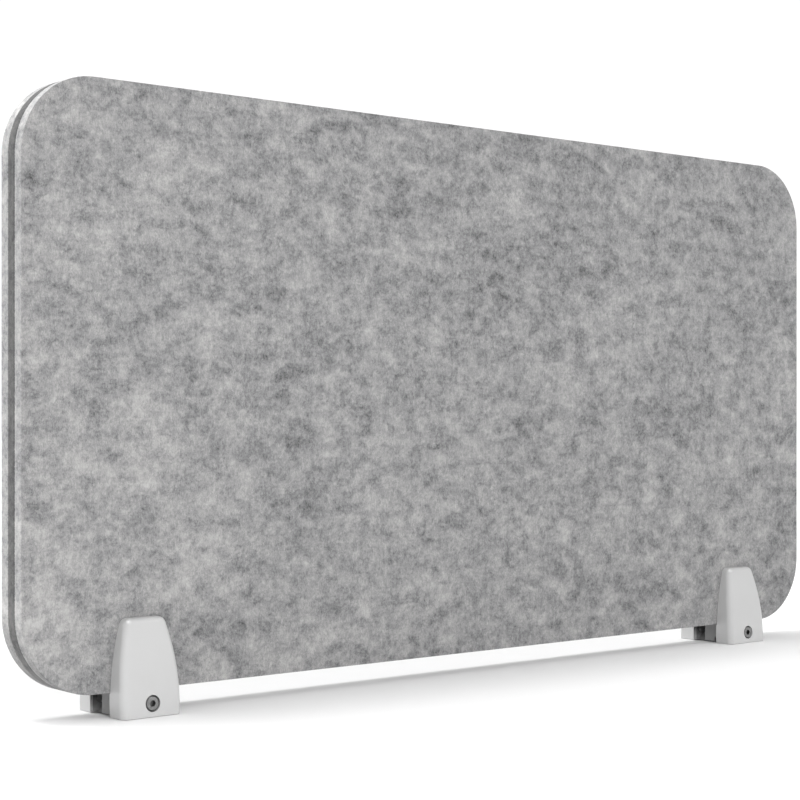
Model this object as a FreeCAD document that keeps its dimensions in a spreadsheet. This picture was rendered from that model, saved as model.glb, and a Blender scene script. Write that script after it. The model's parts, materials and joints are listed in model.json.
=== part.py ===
import FreeCAD, Part
import Sketcher
import os
import re

# Desk privacy panel: three felt boards bonded face to face, held up on a desk by two screw-clamp
# brackets. Millimetres. The origin is on the desk under the middle of the panel, +X runs along the
# panel, -Y is the front, where the screw heads are, and +Z is up.
# Inside a bracket, X is measured from the bracket's own middle. A "depth" is a distance outwards
# from the face of the panel, and a "reach" is a distance in from the front face, under the panel.

DIMENSIONS = {
    # panel
    "panel_width": 762.0,
    "panel_height": 396.0,
    "corner_radius": 52.0,
    "felt_thickness": 9.0,
    "core_thickness": 9.0,
    "desk_gap": 16.0,
    "panel_half": 13.5,
    # bracket places
    "bracket_offset": 295.5,
    "rim_gap": 0.1,
    # outer form of a shell
    "shell_base": 0.3,
    "shell_top": 63.7,
    "shell_foot_half": 22.2,
    "shell_top_half": 14.8,
    "shell_side_radius": 190.0,
    "shell_foot_depth": 16.0,
    "shell_top_depth": 7.5,
    "shell_front_radius": 297.0,
    "shell_crown_radius": 5.5,
    "shell_edge_radius": 4.8,
    # cavity of a shell, one wall of 2.4 inside the outer form
    "cavity_base": 2.7,
    "cavity_top": 61.3,
    "cavity_foot_half": 19.91,
    "cavity_top_half": 12.99,
    "cavity_side_radius": 187.6,
    "cavity_foot_depth": 13.53,
    "cavity_top_depth": 5.61,
    "cavity_front_radius": 294.6,
    "cavity_crown_radius": 3.1,
    "cavity_edge_radius": 2.4,
    # ledges that reach under the panel
    "ledge_height": 15.4,
    "front_ledge": 0.8,
    "rear_ledge": 1.2,
    # clamp screw, washer and nut
    "screw_height": 9.0,
    "seat_depth": 8.2,
    "washer_thickness": 1.2,
    "washer_radius": 5.4,
    "washer_bore": 3.2,
    "counterbore_radius": 5.5,
    "clearance_radius": 3.3,
    "head_radius": 5.0,
    "head_height": 6.0,
    "head_chamfer": 0.8,
    "socket_flats": 4.0,
    "socket_depth": 3.0,
    "shank_radius": 3.0,
    "shank_length": 45.0,
    "tip_chamfer": 0.8,
    "nut_flats": 10.0,
    "nut_thickness": 5.0,
    "nut_bore": 3.05,
    "nut_reach": 25.9,
    # bosses inside the shells
    "boss_radius": 7.9,
    "boss_wall": 2.4,
    "boss_end": 14.0,
    "post_radius": 3.1,
    "pilot_radius": 1.5,
    "pilot_end": 11.5,
    # grip pad and its seat
    "grip_low": 18.0,
    "grip_high": 57.0,
    "grip_low_half": 21.3,
    "grip_high_half": 15.4,
    "grip_radius": 188.0,
    "grip_corner_radius": 2.5,
    "grip_thickness": 1.25,
    "grip_seat": 1.2,
    "grip_play": 0.1,
    # foot pad and its seat
    "foot_pad_half": 16.0,
    "foot_pad_near": 3.5,
    "foot_pad_far": 12.5,
    "foot_pad_thickness": 1.6,
    "foot_pad_radius": 2.5,
    "foot_pad_play": 0.1,
    # front carrier
    "block_half": 19.4,
    "block_end": 15.7,
    "block_low": 1.0,
    "block_high": 15.3,
    "notch_reach": 5.2,
    "notch_high": 5.0,
    "notch_radius": 2.5,
    "guide_half": 11.0,
    "guide_low": 4.5,
    "guide_high": 13.5,
    "guide_play": 0.1,
    "guide_tip": 5.0,
    "guide_floor": 3.0,
    # rear housing
    "flange_half": 22.0,
    "flange_thickness": 3.0,
    "flange_low": 0.9,
    "gusset_reach": 16.2,
    "gusset_half": 19.0,
    "gusset_high": 9.0,
    "nut_boss_half": 8.5,
    "nut_boss_low": 3.1,
    "nut_boss_end": 31.0,
    "nut_play": 0.1,
    # small screws that hold the carrier and the housing to their shells
    "small_head_radius": 2.7,
    "small_head_height": 1.8,
    "small_shank_radius": 1.45,
    "small_shank_length": 11.0,
    "small_hole_radius": 1.7,
    "small_recess_radius": 3.0,
    "carrier_screw_offset": 15.3,
    "carrier_screw_height": 9.0,
    "carrier_screw_reach": 1.5,
    "housing_screw_offset": 16.0,
    "housing_screw_height": 10.0,
}

SHEET = "Dimensions"
ROUGH_SIZE = 40.0  # size of a loop as first drawn, before its dimensions take hold
NEAR = 0.5  # how near an edge lies to the place it is looked for, and the least length it has
TINY = 1e-3  # a length or volume that counts as nothing

document = FreeCAD.newDocument("desk_privacy_panel")
sheet = document.addObject("Spreadsheet::Sheet", SHEET)
subparts = []


def fill_sheet():
    """Write every dimension to the sheet: its name in column A, its value and alias in column B."""
    for row, (alias, number) in enumerate(DIMENSIONS.items(), start=1):
        sheet.set("A%d" % row, alias)
        sheet.set("B%d" % row, str(number))
        sheet.setAlias("B%d" % row, alias)
    document.recompute()


def bind(thing, name, formula):
    """Bind a property to a formula in which the sheet's aliases stand as plain words."""

    def qualify(match):
        word = match.group()
        return SHEET + "." + word if word in DIMENSIONS else word

    thing.setExpression(name, re.sub(r"[a-z][a-z_]+", qualify, formula))


def place(thing, x="0", y="0", z="0", turn=0.0):
    """Place an object by formulas for its origin and a turn about the vertical in degrees."""
    thing.Placement = FreeCAD.Placement(FreeCAD.Vector(), FreeCAD.Rotation(FreeCAD.Vector(0, 0, 1), turn))
    for axis, formula in zip("xyz", (x, y, z)):
        bind(thing, "Placement.Base." + axis, formula)


def finish(thing, label):
    """Register an object as a finished sub-part."""
    thing.Label = label
    subparts.append(thing)


# ---------------------------------------------------------------- sketches and body features

def new_sketch(body, name, role, offset="0"):
    """Start a sketch on one of the body's origin planes, moved along that plane's normal."""
    sketch = body.newObject("Sketcher::SketchObject", name)
    plane = next(item for item in body.Origin.OriginFeatures if item.Role == role)
    sketch.AttachmentSupport = [(plane, "")]
    sketch.MapMode = "FlatFace"
    bind(sketch, "AttachmentOffset.Base.z", offset)
    return sketch


def fix_point(sketch, geometry, end, x, y):
    """Hold one end of an edge, or a centre, at a distance from the sketch's origin."""
    point = sketch.getPoint(geometry, end)
    for kind, drawn, formula in (("DistanceX", point.x, x), ("DistanceY", point.y, y)):
        index = sketch.addConstraint(Sketcher.Constraint(kind, -1, 1, geometry, end, drawn))
        bind(sketch, "Constraints[%d]" % index, formula)


def fix_radius(sketch, geometry, radius):
    """Hold the radius of a circle or an arc."""
    drawn = sketch.Geometry[geometry].Radius
    index = sketch.addConstraint(Sketcher.Constraint("Radius", geometry, drawn))
    bind(sketch, "Constraints[%d]" % index, radius)


def join_ends(sketch, edges):
    """Join each edge's end to the next one's start, all the way round."""
    for edge, following in zip(edges, edges[1:] + edges[:1]):
        sketch.addConstraint(Sketcher.Constraint("Coincident", edge, 2, following, 1))


def draw_loop(sketch, corners):
    """Draw a closed loop of straight edges through corners given as pairs of formulas."""
    turn = FreeCAD.Rotation(FreeCAD.Vector(0, 0, 1), 360.0 / len(corners))
    points = [FreeCAD.Vector(ROUGH_SIZE, 0, 0)]
    for _ in corners:
        points.append(turn.multVec(points[-1]))
    edges = [sketch.addGeometry(Part.LineSegment(a, b)) for a, b in zip(points, points[1:])]
    join_ends(sketch, edges)
    for edge, (x, y) in zip(edges, corners):
        fix_point(sketch, edge, 1, x, y)


def draw_rectangle(sketch, left, right, low, high):
    """Draw a rectangle between two pairs of formulas."""
    draw_loop(sketch, [(left, low), (right, low), (right, high), (left, high)])


def draw_circle(sketch, radius, x="0", y="0"):
    """Draw a circle about a centre given by two formulas."""
    circle = sketch.addGeometry(Part.Circle(FreeCAD.Vector(), FreeCAD.Vector(0, 0, 1), 1.0))
    fix_point(sketch, circle, 3, x, y)
    fix_radius(sketch, circle, radius)


def bowed_arc(start, end, radius):
    """Arc from start to end that turns left and has the given radius."""
    chord = end - start
    height = (radius ** 2 - (chord.Length / 2) ** 2) ** 0.5
    outwards = FreeCAD.Vector(chord.y, -chord.x, 0).normalize()
    middle = (start + end) / 2 + outwards * (radius - height)
    return Part.Arc(start, middle, end)


def draw_tapered_outline(sketch, low, high, low_half, high_half, radius):
    """Draw the front view of a shell: flat foot and top, and two sides that bow outwards."""
    foot, top, wide, narrow, bow = (DIMENSIONS[alias] for alias in (low, high, low_half, high_half, radius))
    corners = [FreeCAD.Vector(-wide, foot, 0), FreeCAD.Vector(wide, foot, 0),
               FreeCAD.Vector(narrow, top, 0), FreeCAD.Vector(-narrow, top, 0)]
    edges = [
        sketch.addGeometry(Part.LineSegment(corners[0], corners[1])),
        sketch.addGeometry(bowed_arc(corners[1], corners[2], bow)),
        sketch.addGeometry(Part.LineSegment(corners[2], corners[3])),
        sketch.addGeometry(bowed_arc(corners[3], corners[0], bow)),
    ]
    join_ends(sketch, edges)
    fix_point(sketch, edges[0], 1, "-" + low_half, low)
    fix_point(sketch, edges[0], 2, low_half, low)
    fix_point(sketch, edges[2], 1, high_half, high)
    fix_point(sketch, edges[2], 2, "-" + high_half, high)
    fix_radius(sketch, edges[1], radius)
    fix_radius(sketch, edges[3], radius)


def draw_front_relief(sketch, form):
    """Draw the side view of what is cut away in front of a form's bowed front face."""
    low, high = form + "_base", form + "_top"
    low_depth, high_depth = form + "_foot_depth", form + "_top_depth"
    radius = form + "_front_radius"
    aliases = (low, high, low_depth, high_depth, radius)
    foot, top, deep, shallow, bow = (DIMENSIONS[alias] for alias in aliases)
    corners = [FreeCAD.Vector(-shallow, top, 0), FreeCAD.Vector(-deep, foot, 0),
               FreeCAD.Vector(-2 * deep, foot, 0), FreeCAD.Vector(-2 * deep, top, 0)]
    edges = [
        sketch.addGeometry(bowed_arc(corners[0], corners[1], bow)),
        sketch.addGeometry(Part.LineSegment(corners[1], corners[2])),
        sketch.addGeometry(Part.LineSegment(corners[2], corners[3])),
        sketch.addGeometry(Part.LineSegment(corners[3], corners[0])),
    ]
    join_ends(sketch, edges)
    fix_point(sketch, edges[1], 1, "-" + low_depth, low)
    fix_point(sketch, edges[1], 2, "-2 * " + low_depth, low)
    fix_point(sketch, edges[3], 1, "-2 * " + low_depth, high)
    fix_point(sketch, edges[3], 2, "-" + high_depth, high)
    fix_radius(sketch, edges[0], radius)


def extrude(body, kind, sketch, length, side="One side", back=False):
    """Add a Pad or a Pocket of a sketch and check that it really added or removed material."""
    before = body.Shape.Volume if body.Tip else 0.0
    feature = body.newObject("PartDesign::" + kind, sketch.Name + "_" + kind)
    feature.Profile = sketch
    feature.SideType = side
    feature.Reversed = back
    bind(feature, "Length", length)
    sketch.Visibility = False
    document.recompute()
    gained = body.Shape.Volume - before
    if (gained > 0) != (kind == "Pad") or abs(gained) < TINY:
        raise RuntimeError("%s in %s changed the volume by %.4f" % (feature.Name, body.Name, gained))
    return feature


def round_edges(body, radius, wanted):
    """Fillet the edges of a body that pass a test."""
    base = body.Tip
    names = ["Edge%d" % (n + 1) for n, edge in enumerate(base.Shape.Edges) if wanted(edge)]
    fillet = body.newObject("PartDesign::Fillet", "Fillet")
    fillet.Base = (base, names)
    bind(fillet, "Radius", radius)
    document.recompute()


def is_vertical(edge):
    """True for an edge that runs straight along Z."""
    return edge.BoundBox.ZLength > NEAR and edge.BoundBox.XLength + edge.BoundBox.YLength < TINY


def is_through(edge):
    """True for an edge that runs straight along Y."""
    return edge.BoundBox.YLength > NEAR and edge.BoundBox.XLength + edge.BoundBox.ZLength < TINY


# ---------------------------------------------------------------- primitives and booleans

def block(x, y, z):
    """Box between three pairs of formulas."""
    box = document.addObject("Part::Box", "Block")
    for name, axis, (low, high) in (("Length", "x", x), ("Width", "y", y), ("Height", "z", z)):
        bind(box, name, "(%s) - (%s)" % (high, low))
        bind(box, "Placement.Base." + axis, low)
    return box


def rod(radius, y, x="0", z="screw_height"):
    """Cylinder that runs along Y between two formulas."""
    cylinder = document.addObject("Part::Cylinder", "Rod")
    lay_along_y(cylinder, y[0], x, z)
    bind(cylinder, "Radius", radius)
    bind(cylinder, "Height", "(%s) - (%s)" % (y[1], y[0]))
    return cylinder


def hexagonal_rod(flats, y, z="screw_height"):
    """Hexagonal prism along Y between two formulas, with two of its flats level."""
    prism = document.addObject("Part::Prism", "Hexagon")
    prism.Polygon = 6
    lay_along_y(prism, y[0], "0", z)
    bind(prism, "Circumradius", "(%s) / 2 / cos(30)" % flats)
    bind(prism, "Height", "(%s) - (%s)" % (y[1], y[0]))
    return prism


def lay_along_y(thing, start, x, z):
    """Turn an upright primitive so that its axis points along +Y, and place its lower end."""
    turn = FreeCAD.Rotation(FreeCAD.Vector(1, 0, 0), -90)
    thing.Placement = FreeCAD.Placement(FreeCAD.Vector(), turn)
    for axis, formula in zip("xyz", (x, start, z)):
        bind(thing, "Placement.Base." + axis, formula)


def fuse(*pieces):
    """Union of several solids."""
    union = document.addObject("Part::MultiFuse", "Union")
    union.Shapes = list(pieces)
    union.Refine = True
    return union


def cut(base, *tools):
    """Base with the tools cut away."""
    difference = document.addObject("Part::Cut", "Difference")
    difference.Base = base
    difference.Tool = tools[0] if len(tools) == 1 else fuse(*tools)
    return difference


# ---------------------------------------------------------------- panel

def make_board(label, thickness, back_face):
    """Rounded rectangular board whose rear face is at a given Y."""
    body = document.addObject("PartDesign::Body", label)
    sketch = new_sketch(body, "Board_outline", "XZ_Plane")
    draw_rectangle(sketch, "-panel_width / 2", "panel_width / 2", "desk_gap", "desk_gap + panel_height")
    extrude(body, "Pad", sketch, thickness)
    round_edges(body, "corner_radius", is_through)
    place(body, y=back_face)
    finish(body, label)


def make_panel():
    """Front felt, dark core and rear felt, bonded face to face."""
    make_board("front_felt_panel", "felt_thickness", "-core_thickness / 2")
    make_board("core_board", "core_thickness", "core_thickness / 2")
    make_board("rear_felt_panel", "felt_thickness", "core_thickness / 2 + felt_thickness")


# ---------------------------------------------------------------- shells and pads

def make_form(body, form, reach):
    """Tapered solid with bowed sides and front, from a reach under the panel out to its front."""
    front_view = new_sketch(body, "Front_view", "XZ_Plane", "-" + reach)
    draw_tapered_outline(front_view, form + "_base", form + "_top", form + "_foot_half",
                         form + "_top_half", form + "_side_radius")
    extrude(body, "Pad", front_view, "%s_foot_depth + %s" % (form, reach))
    side_view = new_sketch(body, "Side_view", "YZ_Plane")
    draw_front_relief(side_view, form)
    extrude(body, "Pocket", side_view, "4 * shell_foot_half", side="Symmetric")
    base, top, top_depth = (DIMENSIONS[form + ending] for ending in ("_base", "_top", "_top_depth"))
    round_edges(body, form + "_crown_radius",
                lambda edge: edge.BoundBox.ZMin > top - NEAR and is_through(edge))
    round_edges(body, form + "_edge_radius",
                lambda edge: edge.BoundBox.YMax < NEAR - top_depth and edge.BoundBox.ZMax > base + NEAR)


def make_hollow_form(body, ledge):
    """Hollow tapered shell, open towards the panel, with a ledge that reaches under the panel."""
    make_form(body, "shell", ledge)
    core = document.addObject("PartDesign::Body", "Core")
    make_form(core, "cavity", ledge)
    hollow = body.newObject("PartDesign::Boolean", "Hollow")
    hollow.Type = "Cut"
    hollow.setObjects([core])
    document.recompute()
    step = new_sketch(body, "Step_for_panel", "YZ_Plane")
    draw_rectangle(step, "0", "2 * rear_ledge", "ledge_height", "2 * shell_top")
    extrude(body, "Pocket", step, "4 * shell_foot_half", side="Symmetric")


def add_seats(body):
    """Shallow seats for the grip pad, facing the panel, and for the foot pad, in the base."""
    grip = new_sketch(body, "Grip_seat", "XZ_Plane")
    draw_tapered_outline(grip, "grip_low", "grip_high", "grip_low_half", "grip_high_half", "grip_radius")
    extrude(body, "Pocket", grip, "grip_seat", back=True)
    foot = new_sketch(body, "Foot_seat", "XY_Plane", "shell_base")
    draw_rectangle(foot, "-foot_pad_half - foot_pad_play", "foot_pad_half + foot_pad_play",
                   "-foot_pad_far - foot_pad_play", "-foot_pad_near + foot_pad_play")
    extrude(body, "Pocket", foot, "foot_pad_thickness - shell_base", back=True)


def add_posts(body, offset, height, start, end):
    """Two round posts on the inside of a shell, each with a pilot hole for a small screw."""
    posts = new_sketch(body, "Posts", "XZ_Plane", start)
    pilots = new_sketch(body, "Pilots", "XZ_Plane", start)
    for sign in ("-", ""):
        draw_circle(posts, "post_radius", sign + offset, height)
        draw_circle(pilots, "pilot_radius", sign + offset, height)
    extrude(body, "Pad", posts, "boss_end - (%s)" % start)
    extrude(body, "Pocket", pilots, "%s - (%s)" % (end, start), back=True)


def add_screw_boss(body):
    """Boss for the clamp screw: a counterbore from the front and a clearance hole through its floor."""
    boss = new_sketch(body, "Boss", "XZ_Plane", "seat_depth - boss_wall")
    draw_circle(boss, "boss_radius", y="screw_height")
    extrude(body, "Pad", boss, "boss_end - seat_depth + boss_wall")
    clearance = new_sketch(body, "Clearance", "XZ_Plane")
    draw_circle(clearance, "clearance_radius", y="screw_height")
    extrude(body, "Pocket", clearance, "2 * shell_foot_depth", back=True)
    counterbore = new_sketch(body, "Counterbore", "XZ_Plane", "seat_depth")
    draw_circle(counterbore, "counterbore_radius", y="screw_height")
    extrude(body, "Pocket", counterbore, "2 * shell_foot_depth", back=True)


def make_front_shell(side, x):
    """Front jaw's shell, which takes the screw's head."""
    body = document.addObject("PartDesign::Body", side + "_front_shell")
    make_hollow_form(body, "front_ledge")
    add_posts(body, "carrier_screw_offset", "carrier_screw_height", "seat_depth - boss_wall", "pilot_end")
    add_screw_boss(body)
    add_seats(body)
    place(body, x, "-panel_half - rim_gap")
    finish(body, side + "_front_shell")


def make_rear_shell(side, x):
    """Rear jaw's shell, plain outside, with posts that hold the housing."""
    body = document.addObject("PartDesign::Body", side + "_rear_shell")
    make_hollow_form(body, "rear_ledge")
    add_posts(body, "housing_screw_offset", "housing_screw_height", "-rear_ledge", "pilot_end")
    add_seats(body)
    place(body, x, "panel_half + rim_gap", turn=180.0)
    finish(body, side + "_rear_shell")


def make_grip_pad(label, x, y, turn):
    """Rubber sheet that stands just proud of a shell's rim and bears on the felt."""
    body = document.addObject("PartDesign::Body", label)
    sketch = new_sketch(body, "Grip_outline", "XZ_Plane")
    draw_loop(sketch, [("-grip_low_half + grip_play", "grip_low + grip_play"),
                       ("grip_low_half - grip_play", "grip_low + grip_play"),
                       ("grip_high_half - grip_play", "grip_high - grip_play"),
                       ("-grip_high_half + grip_play", "grip_high - grip_play")])
    extrude(body, "Pad", sketch, "grip_thickness")
    round_edges(body, "grip_corner_radius", is_through)
    place(body, x, y, turn=turn)
    finish(body, label)


def make_foot_pad(label, x, y, turn):
    """Rubber pad let into a shell's base, standing proud of it on the desk."""
    body = document.addObject("PartDesign::Body", label)
    sketch = new_sketch(body, "Foot_outline", "XY_Plane")
    draw_rectangle(sketch, "-foot_pad_half", "foot_pad_half", "-foot_pad_far", "-foot_pad_near")
    extrude(body, "Pad", sketch, "foot_pad_thickness")
    round_edges(body, "foot_pad_radius", is_vertical)
    place(body, x, y, turn=turn)
    finish(body, label)


# ---------------------------------------------------------------- inner pieces

def make_front_carrier(side, x):
    """Dark block under the panel, screwed to the front shell, with a socket that guides the jaw."""
    body = document.addObject("PartDesign::Body", side + "_front_carrier")
    profile = new_sketch(body, "Block_profile", "YZ_Plane")
    draw_loop(profile, [("-seat_depth + boss_wall - rim_gap", "notch_high"),
                        ("notch_reach", "notch_high"), ("notch_reach", "block_low"),
                        ("block_end", "block_low"), ("block_end", "block_high"),
                        ("-seat_depth + boss_wall - rim_gap", "block_high")])
    extrude(body, "Pad", profile, "2 * block_half", side="Symmetric")
    reach, high = DIMENSIONS["notch_reach"], DIMENSIONS["notch_high"]
    round_edges(body, "notch_radius",
                lambda edge: abs(edge.CenterOfMass.y - reach) + abs(edge.CenterOfMass.z - high) < TINY)
    socket = new_sketch(body, "Guide_socket", "XZ_Plane", "-block_end")
    draw_rectangle(socket, "-guide_half - guide_play", "guide_half + guide_play",
                   "guide_low - guide_play", "guide_high + guide_play")
    extrude(body, "Pocket", socket, "block_end - guide_floor", back=True)
    bore = new_sketch(body, "Screw_bore", "XZ_Plane", "-block_end")
    draw_circle(bore, "clearance_radius", y="screw_height")
    holes = new_sketch(body, "Small_holes", "XZ_Plane", "-block_end")
    recesses = new_sketch(body, "Small_recesses", "XZ_Plane", "-block_end")
    for sign in ("-", ""):
        draw_circle(holes, "small_hole_radius", sign + "carrier_screw_offset", "carrier_screw_height")
        draw_circle(recesses, "small_recess_radius", sign + "carrier_screw_offset", "carrier_screw_height")
    extrude(body, "Pocket", bore, "4 * block_end", back=True)
    extrude(body, "Pocket", holes, "4 * block_end", back=True)
    extrude(body, "Pocket", recesses, "block_end - carrier_screw_reach", back=True)
    place(body, x, "-panel_half")
    finish(body, side + "_front_carrier")


def make_rear_housing(side, x):
    """Dark housing on the rear shell: flange, guide tongue, sloped gussets and a pocket for the nut."""
    rear = "2 * panel_half + rim_gap - rear_ledge"
    front = rear + " - flange_thickness"
    flange = block(("-flange_half", "flange_half"), (front, rear), ("flange_low", "block_high"))
    tongue = block(("-guide_half", "guide_half"), ("guide_tip", front), ("guide_low", "guide_high"))
    nut_boss = block(("-nut_boss_half", "nut_boss_half"), (rear, "nut_boss_end"),
                     ("nut_boss_low", "block_high"))
    solid = fuse(flange, tongue, make_gusset(front), nut_boss)
    bore = rod("clearance_radius", ("0", "2 * nut_boss_end"))
    pocket = hexagonal_rod("nut_flats + nut_play", ("nut_reach", "2 * nut_boss_end"))
    through = (front + " - flange_thickness", rear + " + flange_thickness")
    holes = [rod("small_hole_radius", through, sign + "housing_screw_offset", "housing_screw_height")
             for sign in ("-", "")]
    housing = cut(solid, bore, pocket, *holes)
    place(housing, x, "-panel_half")
    finish(housing, side + "_rear_housing")


def make_gusset(front):
    """Solid with sloping sides that braces the tongue against the flange."""
    wedge = document.addObject("Part::Wedge", "Gusset")
    for name, formula in (("Xmin", "-gusset_half"), ("Xmax", "gusset_half"), ("X2min", "-guide_half"),
                          ("X2max", "guide_half"), ("Ymin", "block_low"), ("Ymax", "gusset_high"),
                          ("Zmin", "-(%s)" % front), ("Zmax", "-gusset_reach"),
                          ("Z2min", "-(%s)" % front), ("Z2max", "-gusset_reach")):
        bind(wedge, name, formula)
    wedge.Placement = FreeCAD.Placement(FreeCAD.Vector(), FreeCAD.Rotation(FreeCAD.Vector(1, 0, 0), 90))
    return wedge


def make_clamp_screw(side, x):
    """Socket-head screw along Y, its head at the front."""
    head_end = "-seat_depth - washer_thickness"
    head_start = head_end + " - head_height"
    tip = head_end + " + shank_length"
    head = rod("head_radius", (head_start, head_end))
    head_rim = document.addObject("Part::Chamfer", "Head_chamfer")
    shank = rod("shank_radius", (head_end, tip))
    tip_rim = document.addObject("Part::Chamfer", "Tip_chamfer")
    document.recompute()
    chamfer_end(head_rim, head, "head_chamfer", min)
    chamfer_end(tip_rim, shank, "tip_chamfer", max)
    socket = hexagonal_rod("socket_flats", (head_start, head_start + " + socket_depth"))
    screw = cut(fuse(head_rim, tip_rim), socket)
    place(screw, x, "-panel_half - rim_gap")
    finish(screw, side + "_clamp_screw")


def chamfer_end(chamfer, cylinder, size, pick):
    """Chamfer the circle at one end of a cylinder that lies along Y."""
    circles = [n for n, edge in enumerate(cylinder.Shape.Edges) if edge.BoundBox.XLength > NEAR]
    chosen = pick(circles, key=lambda n: cylinder.Shape.Edges[n].CenterOfMass.y)
    chamfer.Base = cylinder
    chamfer.Edges = [(chosen + 1, DIMENSIONS[size], DIMENSIONS[size])]


def make_washer(side, x):
    """Plain washer under the clamp screw's head."""
    span = ("-seat_depth - washer_thickness", "-seat_depth")
    washer = cut(rod("washer_radius", span), rod("washer_bore", span))
    place(washer, x, "-panel_half - rim_gap")
    finish(washer, side + "_screw_washer")


def make_nut(side, x):
    """Hexagonal nut held in the housing's pocket."""
    span = ("nut_reach", "nut_reach + nut_thickness")
    nut = cut(hexagonal_rod("nut_flats", span), rod("nut_bore", span))
    place(nut, x, "-panel_half")
    finish(nut, side + "_captive_nut")


def make_small_screws(label, x, offset, height, seat, forwards):
    """Pair of small pan-head screws whose heads bear on a face at a given reach."""
    if forwards:
        head = (seat, seat + " + small_head_height")
        shank = (seat + " - small_shank_length", seat)
    else:
        head = (seat + " - small_head_height", seat)
        shank = (seat, seat + " + small_shank_length")
    rods = []
    for sign in ("-", ""):
        rods.append(rod("small_head_radius", head, sign + offset, height))
        rods.append(rod("small_shank_radius", shank, sign + offset, height))
    screws = fuse(*rods)
    place(screws, x, "-panel_half")
    finish(screws, label)


def make_bracket(side, x):
    """One bracket: a fixed rear jaw, a front jaw that the clamp screw draws in, and their pads."""
    make_front_shell(side, x)
    make_rear_shell(side, x)
    make_front_carrier(side, x)
    make_rear_housing(side, x)
    make_clamp_screw(side, x)
    make_washer(side, x)
    make_nut(side, x)
    make_small_screws(side + "_carrier_screws", x, "carrier_screw_offset", "carrier_screw_height",
                      "carrier_screw_reach", True)
    make_small_screws(side + "_housing_screws", x, "housing_screw_offset", "housing_screw_height",
                      "2 * panel_half + rim_gap - rear_ledge - flange_thickness", False)
    for jaw, sign, turn in (("front", "-", 0.0), ("rear", "", 180.0)):
        grip_y = sign + "(panel_half + rim_gap + grip_seat - grip_thickness)"
        make_grip_pad("%s_%s_grip_pad" % (side, jaw), x, grip_y, turn)
        make_foot_pad("%s_%s_foot_pad" % (side, jaw), x, sign + "(panel_half + rim_gap)", turn)


# ---------------------------------------------------------------- checks and files

def check_document():
    """Stop if any object failed, or if a sub-part isn't made of valid solids."""
    for thing in document.Objects:
        if {"Invalid", "Error"} & set(thing.State):
            raise RuntimeError("%s failed: %s" % (thing.Name, thing.State))
    for thing in subparts:
        shape = thing.Shape
        if shape.isNull() or not shape.isValid() or not shape.Solids:
            raise RuntimeError(thing.Label + " has no valid solid")


def export_parts():
    """Write each sub-part to a STEP file named after it."""
    os.makedirs("parts", exist_ok=True)
    for thing in subparts:
        thing.Shape.exportStep("parts/%s.step" % thing.Label)
        print("%-24s %d solid(s), %9.1f mm3" % (thing.Label, len(thing.Shape.Solids), thing.Shape.Volume))


fill_sheet()
make_panel()
make_bracket("left", "-bracket_offset")
make_bracket("right", "bracket_offset")
document.recompute()
check_document()
export_parts()
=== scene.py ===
"""Desk privacy panel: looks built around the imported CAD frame. Metres, in the row frame."""

import json
import math

import bpy
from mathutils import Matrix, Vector, noise


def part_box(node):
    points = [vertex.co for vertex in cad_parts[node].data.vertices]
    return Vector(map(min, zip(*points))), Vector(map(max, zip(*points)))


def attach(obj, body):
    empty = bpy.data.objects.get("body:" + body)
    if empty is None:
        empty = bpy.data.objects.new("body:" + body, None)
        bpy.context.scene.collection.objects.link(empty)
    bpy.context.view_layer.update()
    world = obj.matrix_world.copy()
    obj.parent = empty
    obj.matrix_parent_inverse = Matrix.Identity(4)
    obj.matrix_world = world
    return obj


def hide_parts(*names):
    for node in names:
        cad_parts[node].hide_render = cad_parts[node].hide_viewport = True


MM = 0.001

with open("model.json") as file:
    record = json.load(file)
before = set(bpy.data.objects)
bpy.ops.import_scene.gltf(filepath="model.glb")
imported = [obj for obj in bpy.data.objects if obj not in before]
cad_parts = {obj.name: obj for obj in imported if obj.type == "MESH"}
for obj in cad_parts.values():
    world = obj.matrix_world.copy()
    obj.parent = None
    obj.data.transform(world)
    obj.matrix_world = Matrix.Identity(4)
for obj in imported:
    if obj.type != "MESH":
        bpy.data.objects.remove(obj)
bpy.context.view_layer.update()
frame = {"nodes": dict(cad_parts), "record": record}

# ---------------------------------------------------------------- sizes read from the frame

FRONT_LOW, FRONT_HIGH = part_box("front_felt_panel")
CORE_LOW, CORE_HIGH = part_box("core_board")
REAR_LOW, REAR_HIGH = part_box("rear_felt_panel")
PANEL_HALF_WIDTH = FRONT_HIGH.x
PANEL_HALF_HEIGHT = 0.5 * (FRONT_HIGH.z - FRONT_LOW.z)
PANEL_MIDDLE = 0.5 * (FRONT_HIGH.z + FRONT_LOW.z)

# ---------------------------------------------------------------- the boards' shape and grid

CORNER_RADIUS = 52.0 * MM
CORNER_STEPS = 20
FACE_STEP = 3.0 * MM
CORE_STEP = 6.0 * MM
SOFT_EDGE = 0.45 * MM  # radius of a board's outer edge
CREASE = 0.3 * MM  # radius of the tuck where two boards meet
CUT_ROUGHNESS = 0.06 * MM
CUT_SCALE = 400.0  # features per metre, as in the other scales
CUT_DEPTH_SCALE = 900.0
BROAD_RELIEF = 0.10 * MM
BROAD_SCALE = 14.0
TUFT_RELIEF = 0.06 * MM
TUFT_SCALE_X = 120.0
TUFT_SCALE_Z = 90.0
FACE_SINK = 0.12 * MM  # mean depth of the uneven face under the CAD's flat one

# ---------------------------------------------------------------- the felt's tones

FELT_TONE = 0.27
FELT_EDGE_TONE = 0.30
CORE_TONE = 0.095
COOL = (0.996, 0.999, 1.014, 1.0)
WARM = (1.012, 1.0, 0.990, 1.0)
END_DRIFT = (0.10, -0.03)  # change of tone at the left end, and from DRIFT_END rightwards
DRIFT_END = -0.4 * PANEL_HALF_WIDTH
TOP_DRIFT = (0.035, -0.06)  # change of tone at the bottom and at the top
BOND_WANDER = 1.6 * MM
BOND_BLUR = 0.25 * MM

# ---------------------------------------------------------------- camera and stage

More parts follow.
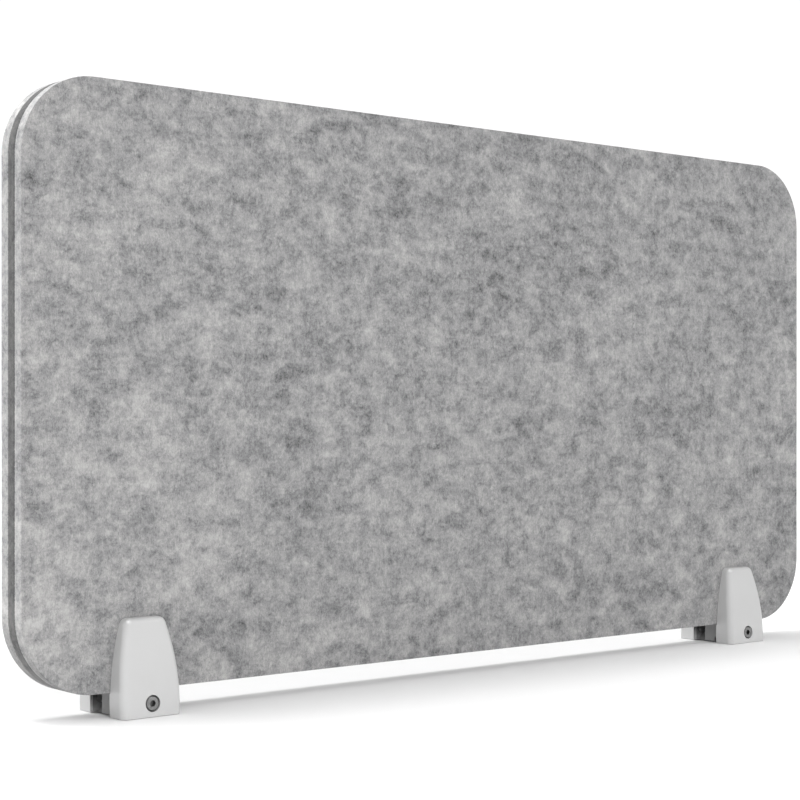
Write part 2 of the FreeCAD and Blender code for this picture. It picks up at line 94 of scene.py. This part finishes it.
CAMERA_PLACE = (-0.9108, -1.0295, 0.1976)
CAMERA_HEADING = math.radians(39.4)
CAMERA_LENS = 81.12
CAMERA_RISE = 0.0141
AIM = Vector((0.0, 0.0, 0.2))
FLOOR_HALF = 14.0
BACKDROP_STRENGTH = 1.05


# ---------------------------------------------------------------- shader helpers

class Shader:
    """A material's node tree, with one short call per node."""

    def __init__(self, name):
        self.material = bpy.data.materials.new(name)
        self.material.use_nodes = True
        self.tree = self.material.node_tree
        self.surface = self.tree.nodes["Principled BSDF"]
        self.place = self.node("ShaderNodeTexCoord").outputs["Object"]

    def node(self, kind, inputs=None, **settings):
        """Add a node, set its properties and fill or link its inputs."""
        made = self.tree.nodes.new(kind)
        for key, value in settings.items():
            setattr(made, key, value)
        for key, value in (inputs or {}).items():
            self.put(made.inputs[key], value)
        return made

    def put(self, socket, value):
        """Link a socket to an output, or set it to a number or a colour."""
        if isinstance(value, bpy.types.NodeSocket):
            self.tree.links.new(value, socket)
        else:
            socket.default_value = value

    def set(self, **inputs):
        """Fill the surface's inputs; underscores stand for spaces."""
        for key, value in inputs.items():
            self.put(self.surface.inputs[key.replace("_", " ")], value)

    def stretched(self, scale):
        """Object coordinates, in metres, multiplied by a scale for each axis."""
        return self.node("ShaderNodeMapping", {"Vector": self.place, "Scale": scale}).outputs[0]

    def noise(self, scale, detail=2.0, roughness=0.5, vector=None, distortion=0.0):
        """Noise from 0 to 1, with features of about 1 / scale metres."""
        return self.node("ShaderNodeTexNoise", {
            "Vector": vector or self.place, "Scale": scale, "Detail": detail,
            "Roughness": roughness, "Distortion": distortion}).outputs["Fac"]

    def ridges(self, scale, detail, vector):
        """Thin bright lines, like strands lying across each other."""
        return self.node("ShaderNodeTexNoise", {
            "Vector": vector, "Scale": scale, "Detail": detail, "Roughness": 0.5, "Gain": 1.5,
            "Offset": 0.9}, noise_type="RIDGED_MULTIFRACTAL", normalize=True).outputs["Fac"]

    def math(self, operation, a, b=0.0, c=0.0):
        """One arithmetic step."""
        return self.node("ShaderNodeMath", {0: a, 1: b, 2: c}, operation=operation).outputs[0]

    def centred(self, value, gain):
        """A noise moved to be about zero and multiplied by a gain."""
        return self.math("MULTIPLY_ADD", value, gain, -0.5 * gain)

    def total(self, *values):
        """Sum of several values."""
        result = values[0]
        for value in values[1:]:
            result = self.math("ADD", result, value)
        return result

    def remap(self, value, low, high, to_low=0.0, to_high=1.0):
        """Linear map from one range to another, held at its ends."""
        return self.node("ShaderNodeMapRange", {
            "Value": value, "From Min": low, "From Max": high,
            "To Min": to_low, "To Max": to_high}).outputs[0]

    def mix(self, factor, a, b, blend="MIX"):
        """Blend of two colours."""
        made = self.node("ShaderNodeMix", data_type="RGBA", blend_type=blend)
        for socket, value in ((made.inputs[0], factor), (made.inputs[6], a), (made.inputs[7], b)):
            self.put(socket, value)
        return made.outputs[2]

    def bump(self, height, strength, distance):
        """Bump normal from a height."""
        return self.node("ShaderNodeBump", {
            "Height": height, "Strength": strength, "Distance": distance}).outputs[0]


def grey(value):
    """Opaque neutral colour."""
    return (value, value, value, 1.0)


# ---------------------------------------------------------------- materials

def felt_material(name, face, contrast):
    """Pressed polyester felt: cloudy mottling, dark wisps and fine fibres, its tone drifting a
    little across the board. At a cut edge the outer boards are paler, and painted light makes the
    edge lighter where it faces up and darker where it faces down. The bond to the darker core
    wanders."""
    shader = Shader(name)
    place = shader.node("ShaderNodeSeparateXYZ", {0: shader.place})
    along = shader.remap(place.outputs[0], -PANEL_HALF_WIDTH, DRIFT_END, *END_DRIFT)
    rising = shader.remap(place.outputs[2], FRONT_LOW.z, FRONT_HIGH.z, *TOP_DRIFT)
    clouds = shader.noise(1.0, 3.0, 0.6, shader.stretched((15.0, 15.0, 24.0)), 0.2)
    patches = shader.noise(1.0, 5.0, 0.68, shader.stretched((60.0, 60.0, 92.0)), 0.3)
    tufts = shader.noise(1.0, 3.0, 0.6, shader.stretched((270.0, 270.0, 210.0)), 0.2)
    wisps = shader.ridges(1.0, 2.0, shader.stretched((230.0, 230.0, 330.0)))
    fibres = shader.noise(1.0, 2.0, 0.6, shader.stretched((1250.0, 1250.0, 520.0)), 1.0)
    grain = shader.noise(2300.0, 1.0, 0.5)
    dark_patches = shader.remap(patches, 0.35, 0.6, 1.0, 0.25)
    wisp_shade = shader.math("MULTIPLY", shader.centred(wisps, -0.12 * contrast), dark_patches)
    shade = shader.total(
        along, rising, shader.centred(clouds, 0.40 * contrast),
        shader.centred(patches, 0.80 * contrast), shader.centred(tufts, 0.48 * contrast), wisp_shade,
        shader.centred(fibres, 0.55 * contrast), shader.centred(grain, 0.30 * contrast))
    level = shader.math("ADD", shade, 1.0)
    tint = shader.mix(shader.remap(level, 0.8, 1.25), COOL, WARM)
    turned = shader.node("ShaderNodeTexCoord").outputs["Normal"]
    normal = shader.node("ShaderNodeSeparateXYZ", {0: turned})
    facing = shader.remap(shader.math("ABSOLUTE", normal.outputs[1]), 0.6, 0.85)
    wander = shader.centred(shader.noise(900.0, 2.0, 0.6), BOND_WANDER)
    depth = shader.math("ADD", shader.math("ABSOLUTE", place.outputs[1]), wander)
    outer = shader.remap(depth, CORE_HIGH.y - BOND_BLUR, CORE_HIGH.y + BOND_BLUR)
    # Painted light: a cut edge is lighter where it faces up and darker where it faces down.
    painted_top_light = shader.remap(normal.outputs[2], -0.7, 0.7)
    cut = shader.mix(painted_top_light, grey(FELT_EDGE_TONE * 0.65), grey(FELT_EDGE_TONE * 1.65))
    edge = shader.mix(outer, grey(CORE_TONE), cut)
    base = shader.mix(facing, edge, grey(face))
    toned = shader.mix(1.0, base, tint, "MULTIPLY")
    colour = shader.node("ShaderNodeVectorMath", {0: toned, 3: level}, operation="SCALE")
    height = shader.total(shader.math("MULTIPLY", fibres, 0.5), shader.math("MULTIPLY", tufts, 0.5),
                          shader.math("MULTIPLY", grain, 0.3))
    shader.set(Base_Color=colour.outputs[0], Roughness=0.95, Specular_IOR_Level=0.15,
               Sheen_Weight=0.2, Sheen_Roughness=0.5, Normal=shader.bump(height, 0.3, 0.0006))
    return shader.material


def shell_material():
    """Satin white moulded plastic with a very fine orange-peel texture."""
    shader = Shader("shell_white")
    peel = shader.noise(1400.0, 2.0, 0.5)
    cloud = shader.noise(60.0, 2.0, 0.5)
    rough = shader.remap(cloud, 0.3, 0.7, 0.29, 0.34)
    tone = shader.mix(cloud, grey(0.52), grey(0.54))
    shader.set(Base_Color=tone, Roughness=rough, Coat_Weight=0.5, Coat_Roughness=0.16,
               Normal=shader.bump(peel, 0.06, 0.0002))
    return shader.material


def nylon_material(name, tone, painted_low_light_tone):
    """Moulded nylon with a spark-eroded grain; painted light makes it paler towards the desk."""
    shader = Shader(name)
    grain = shader.noise(2600.0, 2.0, 0.6)
    cloud = shader.noise(120.0, 2.0, 0.5)
    height = shader.node("ShaderNodeSeparateXYZ", {0: shader.place}).outputs[2]
    # Painted light: the colour turns paler towards the desk, below about 10 mm, along a wandering
    # line.
    painted_light_height = shader.math("ADD", height, shader.centred(cloud, 8.0 * MM))
    body = shader.mix(cloud, grey(tone * 0.85), grey(tone * 1.15))
    colour = shader.mix(shader.remap(painted_light_height, 3.5 * MM, 10.0 * MM), grey(painted_low_light_tone), body)
    shader.set(Base_Color=colour, Roughness=shader.remap(grain, 0.2, 0.8, 0.45, 0.62),
               Normal=shader.bump(grain, 0.25, 0.0002))
    return shader.material


def steel_material(name, face, shaded_side_tone, roughness):
    """Plated or oxidised steel with turning marks round the Y axis; painted shade makes its sides
    and chamfers darker than its end faces.
    """
    shader = Shader(name)
    marks = shader.noise(1.0, 2.0, 0.6, shader.stretched((300.0, 9000.0, 300.0)))
    stain = shader.centred(shader.noise(420.0, 3.0, 0.6), 0.5)
    turned = shader.node("ShaderNodeTexCoord").outputs["Normal"]
    across = shader.node("ShaderNodeSeparateXYZ", {0: turned}).outputs[1]
    # Painted shade: sides and chamfers, away from the end faces, take the darker side tone.
    painted_shade_mask = shader.remap(shader.math("ABSOLUTE", across), 0.8, 0.97)
    tone = shader.mix(painted_shade_mask, grey(shaded_side_tone), grey(face))
    level = shader.math("ADD", stain, 1.0)
    colour = shader.node("ShaderNodeVectorMath", {0: tone, 3: level}, operation="SCALE").outputs[0]
    shader.set(Base_Color=colour, Metallic=0.9,
               Roughness=shader.remap(marks, 0.2, 0.8, roughness - 0.08, roughness + 0.08),
               Normal=shader.bump(marks, 0.12, 0.0001))
    return shader.material


def rubber_material():
    """Matt black rubber with a pitted surface."""
    shader = Shader("rubber_pad")
    pits = shader.noise(2200.0, 3.0, 0.6)
    shader.set(Base_Color=shader.mix(pits, grey(0.018), grey(0.035)), Roughness=0.85,
               Normal=shader.bump(pits, 0.4, 0.0002))
    return shader.material


MATERIALS = {
    "felt_face": felt_material("felt_face", FELT_TONE, 2.0),
    "felt_core": felt_material("felt_core", CORE_TONE, 2.4),
    "shell_white": shell_material(),
    "carrier_grey": nylon_material("carrier_grey", 0.23, 0.26),
    "housing_black": nylon_material("housing_black", 0.019, 0.21),
    "screw_black": steel_material("screw_black", 0.29, 0.14, 0.42),
    "zinc_steel": steel_material("zinc_steel", 0.6, 0.55, 0.35),
    "rubber_pad": rubber_material(),
}


def paint_cad_nodes():
    """Give every CAD node the material of its slot."""
    for subpart in frame["record"]["subparts"]:
        node = frame["nodes"][subpart["node"]]
        node.data.materials.clear()
        node.data.materials.append(MATERIALS[subpart["material_slot"]])


# ---------------------------------------------------------------- felt boards

def column_positions(inset, step):
    """X of the columns of a board's grid: even along the straight, closer round the corners."""
    straight = PANEL_HALF_WIDTH - CORNER_RADIUS
    radius = CORNER_RADIUS - inset
    corner = [straight + radius * math.sin(0.5 * math.pi * n / CORNER_STEPS)
              for n in range(1, CORNER_STEPS + 1)]
    count = round(2 * straight / step)
    middle = [-straight + 2 * straight * n / count for n in range(count + 1)]
    return [-x for x in reversed(corner)] + middle + corner


def column_reach(x, inset):
    """Half the height of the board's grid at a column."""
    radius = CORNER_RADIUS - inset
    past = max(0.0, abs(x) - (PANEL_HALF_WIDTH - CORNER_RADIUS))
    half = PANEL_HALF_HEIGHT - CORNER_RADIUS
    return half + math.sqrt(max(0.0, radius * radius - past * past))


def relief(x, z, seed):
    """Height of the felt's face: broad softness and small tufts, in metres."""
    broad = noise.noise(Vector((x * BROAD_SCALE, seed, z * BROAD_SCALE)))
    tufts = noise.noise(Vector((x * TUFT_SCALE_X, seed + 5.0, z * TUFT_SCALE_Z)))
    return BROAD_RELIEF * broad + TUFT_RELIEF * tufts


def face_grid(outer_y, outwards, step, seed):
    """Points and quads of a board's outer face, and its boundary as a closed loop of indices."""
    columns = column_positions(SOFT_EDGE, step)
    rows = round(2 * PANEL_HALF_HEIGHT / step)
    points = []
    for x in columns:
        reach = column_reach(x, SOFT_EDGE)
        for k in range(rows + 1):
            z = PANEL_MIDDLE + reach * (2.0 * k / rows - 1.0)
            lift = relief(x, z, seed) - FACE_SINK
            points.append(Vector((x, outer_y + outwards * lift, z)))
    tall = rows + 1
    last = len(columns) - 1
    quads = [(c * tall + k, c * tall + k + 1, (c + 1) * tall + k + 1, (c + 1) * tall + k)
             for c in range(last) for k in range(rows)]
    left = list(range(rows))
    top = [c * tall + rows for c in range(last)]
    right = [last * tall + k for k in range(rows, 0, -1)]
    bottom = [c * tall for c in range(last, 0, -1)]
    return points, quads, left + top + right + bottom


def edge_profile(depth):
    """Steps round a board's edge, each (out from the grid's boundary, down from the outer face)."""
    rounding = [(SOFT_EDGE * math.sin(a), SOFT_EDGE * (1 - math.cos(a)))
                for a in (math.radians(22.5 * n) for n in (1, 2, 3, 4))]
    straight = [(SOFT_EDGE, SOFT_EDGE + (depth - SOFT_EDGE - CREASE) * n / 4.0)
                for n in (1, 2, 3, 4)]
    tuck = [(SOFT_EDGE - CREASE * (1 - math.cos(a)), depth - CREASE + CREASE * math.sin(a))
            for a in (math.radians(45.0), math.radians(90.0))]
    return rounding + straight + tuck


def edge_point(start, out, drop, outer_y, outwards, seed):
    """A boundary point moved out along the outline's own direction, and in from the face."""
    across = PANEL_HALF_WIDTH - CORNER_RADIUS
    up = PANEL_HALF_HEIGHT - CORNER_RADIUS
    centre = Vector((max(-across, min(across, start.x)), 0.0,
                     PANEL_MIDDLE + max(-up, min(up, start.z - PANEL_MIDDLE))))
    away = Vector((start.x - centre.x, 0.0, start.z - centre.z)).normalized()
    cut = noise.noise(Vector((start.x * CUT_SCALE, seed + drop * CUT_DEPTH_SCALE,
                              start.z * CUT_SCALE)))
    reach = CORNER_RADIUS - SOFT_EDGE + out + CUT_ROUGHNESS * cut
    point = centre + away * reach
    point.y = outer_y - outwards * drop
    return point


def add_mesh(name, points, faces, material):
    """New mesh object; its four-sided faces are smooth."""
    mesh = bpy.data.meshes.new(name)
    mesh.from_pydata(points, [], faces)
    mesh.polygons.foreach_set("use_smooth", [len(face) == 4 for face in faces])
    mesh.materials.append(material)
    made = bpy.data.objects.new(name, mesh)
    bpy.context.scene.collection.objects.link(made)
    return made


def make_board(name, outer_y, inner_y, step, slot, node, seed):
    """A board with a soft-edged, gently uneven outer face and a flat inner one."""
    outwards = math.copysign(1.0, outer_y - inner_y)
    points, faces, loop = face_grid(outer_y, outwards, step, seed)
    starts = [points[index] for index in loop]
    for out, drop in edge_profile(abs(outer_y - inner_y)):
        ring = [len(points) + n for n in range(len(starts))]
        points += [edge_point(start, out, drop, outer_y, outwards, seed) for start in starts]
        faces += [(a, d, c, b) for a, b, c, d
                  in zip(loop, loop[1:] + loop[:1], ring[1:] + ring[:1], ring)]
        loop = ring
    faces.append(tuple(loop))
    if outwards < 0:
        faces = [tuple(reversed(face)) for face in faces]
    board = add_mesh(name, points, faces, MATERIALS[slot])
    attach(board, "panel")
    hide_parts(node)


def make_boards():
    """The three bonded boards."""
    make_board("front_felt", FRONT_LOW.y, FRONT_HIGH.y, FACE_STEP, "felt_face",
               "front_felt_panel", 1.0)
    make_board("rear_felt", REAR_HIGH.y, REAR_LOW.y, FACE_STEP, "felt_face",
               "rear_felt_panel", 31.0)
    make_board("core_felt", CORE_HIGH.y, CORE_LOW.y, CORE_STEP, "felt_core", "core_board", 57.0)


# ---------------------------------------------------------------- stage, light and camera

def make_floor():
    """Plain pale floor, wide enough to meet the white backdrop out of sight."""
    corners = [(x * FLOOR_HALF, y * FLOOR_HALF, 0.0)
               for x, y in ((-1, -1), (1, -1), (1, 1), (-1, 1))]
    mesh = bpy.data.meshes.new("floor")
    mesh.from_pydata(corners, [], [(0, 1, 2, 3)])
    floor = bpy.data.objects.new("floor", mesh)
    bpy.context.scene.collection.objects.link(floor)
    shader = Shader("floor")
    shader.set(Base_Color=grey(0.90), Roughness=0.9, Specular_IOR_Level=0.1)
    mesh.materials.append(shader.material)


def make_world(strength):
    """Soft even light from all round, and a plain white backdrop behind the object."""
    world = bpy.data.worlds.new("studio")
    bpy.context.scene.world = world
    world.use_nodes = True
    tree = world.node_tree
    tree.nodes.clear()
    path = tree.nodes.new("ShaderNodeLightPath")
    light = tree.nodes.new("ShaderNodeBackground")
    light.inputs["Strength"].default_value = strength
    backdrop = tree.nodes.new("ShaderNodeBackground")
    backdrop.inputs["Strength"].default_value = BACKDROP_STRENGTH
    for background in (light, backdrop):
        background.inputs["Color"].default_value = grey(1.0)
    chooser = tree.nodes.new("ShaderNodeMixShader")
    output = tree.nodes.new("ShaderNodeOutputWorld")
    tree.links.new(path.outputs["Is Camera Ray"], chooser.inputs[0])
    tree.links.new(light.outputs[0], chooser.inputs[1])
    tree.links.new(backdrop.outputs[0], chooser.inputs[2])
    tree.links.new(chooser.outputs[0], output.inputs[0])


def make_sun(name, azimuth, elevation, softness, strength):
    """Distant soft light. Azimuth 0 stands in front of the panel and 90 at its right-hand end."""
    data = bpy.data.lights.new(name, "SUN")
    data.angle = math.radians(softness)
    data.energy = strength
    lamp = bpy.data.objects.new(name, data)
    bpy.context.scene.collection.objects.link(lamp)
    lamp.rotation_euler = (math.radians(90.0 - elevation), 0.0, math.radians(azimuth))
    return lamp


def make_softbox(name, place, size, power):
    """Square lamp that points at the middle of the panel and leaves no reflection of itself."""
    data = bpy.data.lights.new(name, "AREA")
    data.size = size
    data.energy = power
    lamp = bpy.data.objects.new(name, data)
    bpy.context.scene.collection.objects.link(lamp)
    lamp.location = place
    lamp.visible_glossy = False
    lamp.visible_camera = False
    lamp.rotation_euler = (AIM - lamp.location).to_track_quat("-Z", "Y").to_euler()


def make_camera():
    """Level camera at the front left, looking 39.4 degrees round to the right."""
    data = bpy.data.cameras.new("camera")
    data.lens = CAMERA_LENS
    data.sensor_width = 36.0
    data.shift_y = CAMERA_RISE
    data.clip_start = 0.05
    camera = bpy.data.objects.new("camera", data)
    bpy.context.scene.collection.objects.link(camera)
    camera.location = CAMERA_PLACE
    camera.rotation_euler = (0.5 * math.pi, 0.0, -CAMERA_HEADING)
    bpy.context.scene.camera = camera


paint_cad_nodes()
make_boards()
make_floor()
make_world(0.54)
make_sun("overhead_light", -115.0, 72.0, 15.0, 1.03)
make_sun("top_light", 0.0, 84.0, 50.0, 0.15)
make_sun("rear_light", -150.0, 35.0, 40.0, 0.84)
make_sun("rear_left_light", -125.0, 50.0, 30.0, 0.55)
make_sun("front_light", 15.0, 50.0, 40.0, 0.90)
make_softbox("left_softbox", (-1.1, -2.4, 0.35), 1.6, 29.0)
# Seen only in reflections, where it gives each shell the small bright spot at its upper corner.
make_sun("highlight_light", -75.0, 79.0, 30.0, 2.4).visible_diffuse = False
make_camera()
bpy.context.scene.view_settings.view_transform = "Standard"
